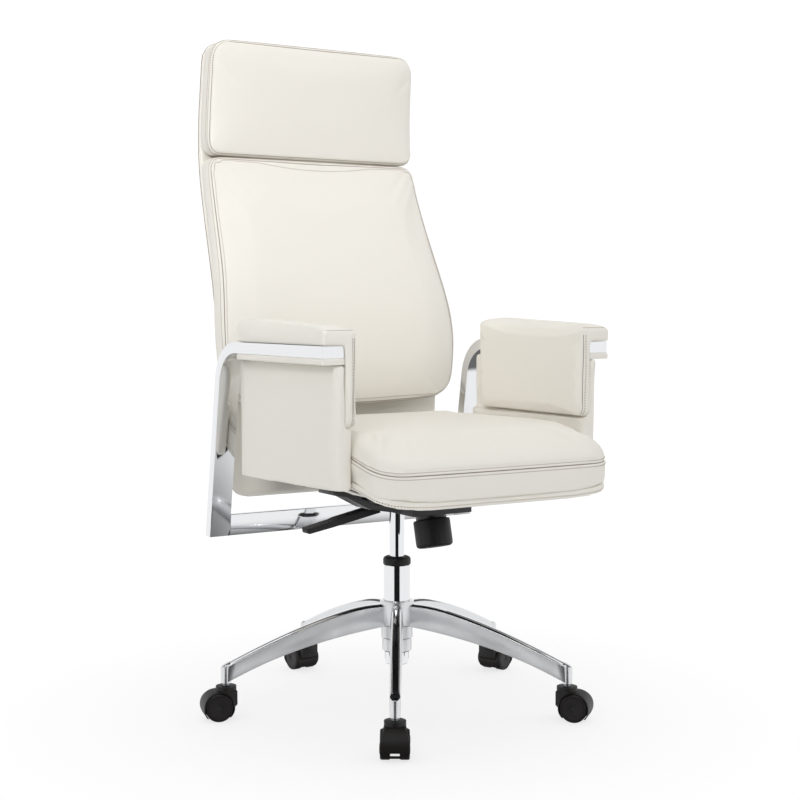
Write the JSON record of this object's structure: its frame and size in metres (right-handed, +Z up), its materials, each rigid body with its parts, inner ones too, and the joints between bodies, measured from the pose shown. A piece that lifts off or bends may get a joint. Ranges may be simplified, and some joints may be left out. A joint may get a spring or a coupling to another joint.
{
  "type": "swivel office chair",
  "caption": "Padded swivel office chair with a star base on twin-wheel casters, a gas lift, a tilt mechanism, looped chrome arms and a high back with a headrest.",
  "frame": {"origin": "on the floor under the column's axis", "axes": "+Z up along the column, -Y towards the front of the seat, +X to the sitter's left"},
  "size_m": [0.7091, 0.72, 1.25],
  "materials": {
    "base_metal": "polished",
    "column_chrome": "polished",
    "chrome": "polished",
    "rod_steel": "ground",
    "dark_steel": "blackened",
    "black_plastic": "fine grained",
    "caster_nylon": "satin moulded",
    "black_paint": "satin black",
    "seat_wood": "moulded plywood with a leather wrap on its edge",
    "cream_leather": "smooth, stitched",
    "shaded_leather": "smooth, stretched over a shell"
  },
  "bodies": {
    "base": {"star_base": "base_metal", "outer_column": "column_chrome", "guide_bush": "black_plastic", "thrust_bearing": "dark_steel", "caster_stem_1": "dark_steel", "caster_stem_2": "dark_steel", "caster_stem_3": "dark_steel", "caster_stem_4": "dark_steel", "caster_stem_5": "dark_steel"},
    "piston": {"piston_rod": "rod_steel", "retaining_clip": "dark_steel"},
    "mechanism": {"pressure_tube": "column_chrome", "mechanism_housing": "black_paint", "tilt_pin": "rod_steel", "tension_spring": "dark_steel"},
    "upper": {"seat_plate": "black_paint", "seat_board": "seat_wood", "seat_cushion": "cream_leather", "cross_bar": "chrome", "back_shell": "shaded_leather", "back_cushion": "cream_leather", "headrest_cushion": "cream_leather", "back_straps": "black_paint", "seat_bolts": "dark_steel", "arm_frame_left": "chrome", "arm_lip_left": "cream_leather", "arm_panel_left": "cream_leather", "arm_pad_left": "cream_leather", "arm_bracket_left": "black_paint", "arm_frame_right": "chrome", "arm_lip_right": "cream_leather", "arm_panel_right": "cream_leather", "arm_pad_right": "cream_leather", "arm_bracket_right": "black_paint"},
    "lever_collar": {"lever_carrier": "black_paint"},
    "lever": {"lever_rod": "dark_steel", "lever_paddle": "black_plastic"},
    "release_pin": {"release_pin": "rod_steel"},
    "tension": {"tension_bolt": "dark_steel", "tension_knob": "black_plastic"},
    "caster_1": {"caster_hood_1": "caster_nylon", "caster_axle_1": "dark_steel"},
    "wheel_1a": {"caster_wheel_1a": "caster_nylon"},
    "wheel_1b": {"caster_wheel_1b": "caster_nylon"},
    "caster_2": {"caster_hood_2": "caster_nylon", "caster_axle_2": "dark_steel"},
    "wheel_2a": {"caster_wheel_2a": "caster_nylon"},
    "wheel_2b": {"caster_wheel_2b": "caster_nylon"},
    "caster_3": {"caster_hood_3": "caster_nylon", "caster_axle_3": "dark_steel"},
    "wheel_3a": {"caster_wheel_3a": "caster_nylon"},
    "wheel_3b": {"caster_wheel_3b": "caster_nylon"},
    "caster_4": {"caster_hood_4": "caster_nylon", "caster_axle_4": "dark_steel"},
    "wheel_4a": {"caster_wheel_4a": "caster_nylon"},
    "wheel_4b": {"caster_wheel_4b": "caster_nylon"},
    "caster_5": {"caster_hood_5": "caster_nylon", "caster_axle_5": "dark_steel"},
    "wheel_5a": {"caster_wheel_5a": "caster_nylon"},
    "wheel_5b": {"caster_wheel_5b": "caster_nylon"}
  },
  "joints": [
    {"name": "seat_swivel", "type": "hinge", "parent": "base", "child": "piston", "pos_m": [0, 0, 0], "axis": [0, 0, 1], "continuous": true},
    {"name": "seat_height", "type": "slide", "parent": "piston", "child": "mechanism", "axis": [0, 0, 1], "range_m": [-0.07, 0.02]},
    {"name": "seat_tilt", "type": "hinge", "parent": "mechanism", "child": "upper", "pos_m": [0, 0.03, 0.386], "axis": [-1, 0, 0], "range_deg": [0, 14], "stiffness_Nm_per_rad": 120, "springref_deg": -11.46},
    {"name": "lever_lift", "type": "hinge", "parent": "mechanism", "child": "lever_collar", "pos_m": [-0.033, -0.05, 0.39], "axis": [0, 1, 0], "range_deg": [0, 6], "stiffness_Nm_per_rad": 4, "springref_deg": -6.88},
    {"name": "lever_pull", "type": "slide", "parent": "lever_collar", "child": "lever", "axis": [-0.9816, 0, -0.1908], "range_m": [0, 0.012]},
    {"name": "pin_press", "type": "slide", "parent": "mechanism", "child": "release_pin", "axis": [0, 0, 1], "range_m": [-0.0035, 0.0003]},
    {"name": "tension_turn", "type": "hinge", "parent": "mechanism", "child": "tension", "pos_m": [0, -0.112, 0.376], "axis": [0, 0.2419, 0.9703], "range_deg": [-360, 360]},
    {"name": "caster_swivel_1", "type": "hinge", "parent": "base", "child": "caster_1", "pos_m": [-0.17348, -0.27127, 0.06], "axis": [0, 0, 1], "continuous": true},
    {"name": "wheel_spin_1a", "type": "hinge", "parent": "caster_1", "child": "wheel_1a", "pos_m": [-0.1821, -0.28475, 0.025], "axis": [0.8425, -0.5388, 0], "continuous": true},
    {"name": "wheel_spin_1b", "type": "hinge", "parent": "caster_1", "child": "wheel_1b", "pos_m": [-0.1821, -0.28475, 0.025], "axis": [0.8425, -0.5388, 0], "continuous": true},
    {"name": "caster_swivel_2", "type": "hinge", "parent": "base", "child": "caster_2", "pos_m": [0.20438, -0.24882, 0.06], "axis": [0, 0, 1], "continuous": true},
    {"name": "wheel_spin_2a", "type": "hinge", "parent": "caster_2", "child": "wheel_2a", "pos_m": [0.21454, -0.26118, 0.025], "axis": [0.7727, 0.6347, 0], "continuous": true},
    {"name": "wheel_spin_2b", "type": "hinge", "parent": "caster_2", "child": "wheel_2b", "pos_m": [0.21454, -0.26118, 0.025], "axis": [0.7727, 0.6347, 0], "continuous": true},
    {"name": "caster_swivel_3", "type": "hinge", "parent": "base", "child": "caster_3", "pos_m": [0.2998, 0.11749, 0.06], "axis": [0, 0, 1], "continuous": true},
    {"name": "wheel_spin_3a", "type": "hinge", "parent": "caster_3", "child": "wheel_3a", "pos_m": [0.3147, 0.12333, 0.025], "axis": [-0.3649, 0.9311, 0], "continuous": true},
    {"name": "wheel_spin_3b", "type": "hinge", "parent": "caster_3", "child": "wheel_3b", "pos_m": [0.3147, 0.12333, 0.025], "axis": [-0.3649, 0.9311, 0], "continuous": true},
    {"name": "caster_swivel_4", "type": "hinge", "parent": "base", "child": "caster_4", "pos_m": [-0.0191, 0.32143, 0.06], "axis": [0, 0, 1], "continuous": true},
    {"name": "wheel_spin_4a", "type": "hinge", "parent": "caster_4", "child": "wheel_4a", "pos_m": [-0.02005, 0.33741, 0.025], "axis": [-0.9982, -0.0593, 0], "continuous": true},
    {"name": "wheel_spin_4b", "type": "hinge", "parent": "caster_4", "child": "wheel_4b", "pos_m": [-0.02005, 0.33741, 0.025], "axis": [-0.9982, -0.0593, 0], "continuous": true},
    {"name": "caster_swivel_5", "type": "hinge", "parent": "base", "child": "caster_5", "pos_m": [-0.3116, 0.08117, 0.06], "axis": [0, 0, 1], "continuous": true},
    {"name": "wheel_spin_5a", "type": "hinge", "parent": "caster_5", "child": "wheel_5a", "pos_m": [-0.32709, 0.0852, 0.025], "axis": [-0.2521, -0.9677, 0], "continuous": true},
    {"name": "wheel_spin_5b", "type": "hinge", "parent": "caster_5", "child": "wheel_5b", "pos_m": [-0.32709, 0.0852, 0.025], "axis": [-0.2521, -0.9677, 0], "continuous": true}
  ],
  "couplings": [
    {"joint": "pin_press", "follows": "lever_lift", "m_per_rad": -0.0286}
  ]
}
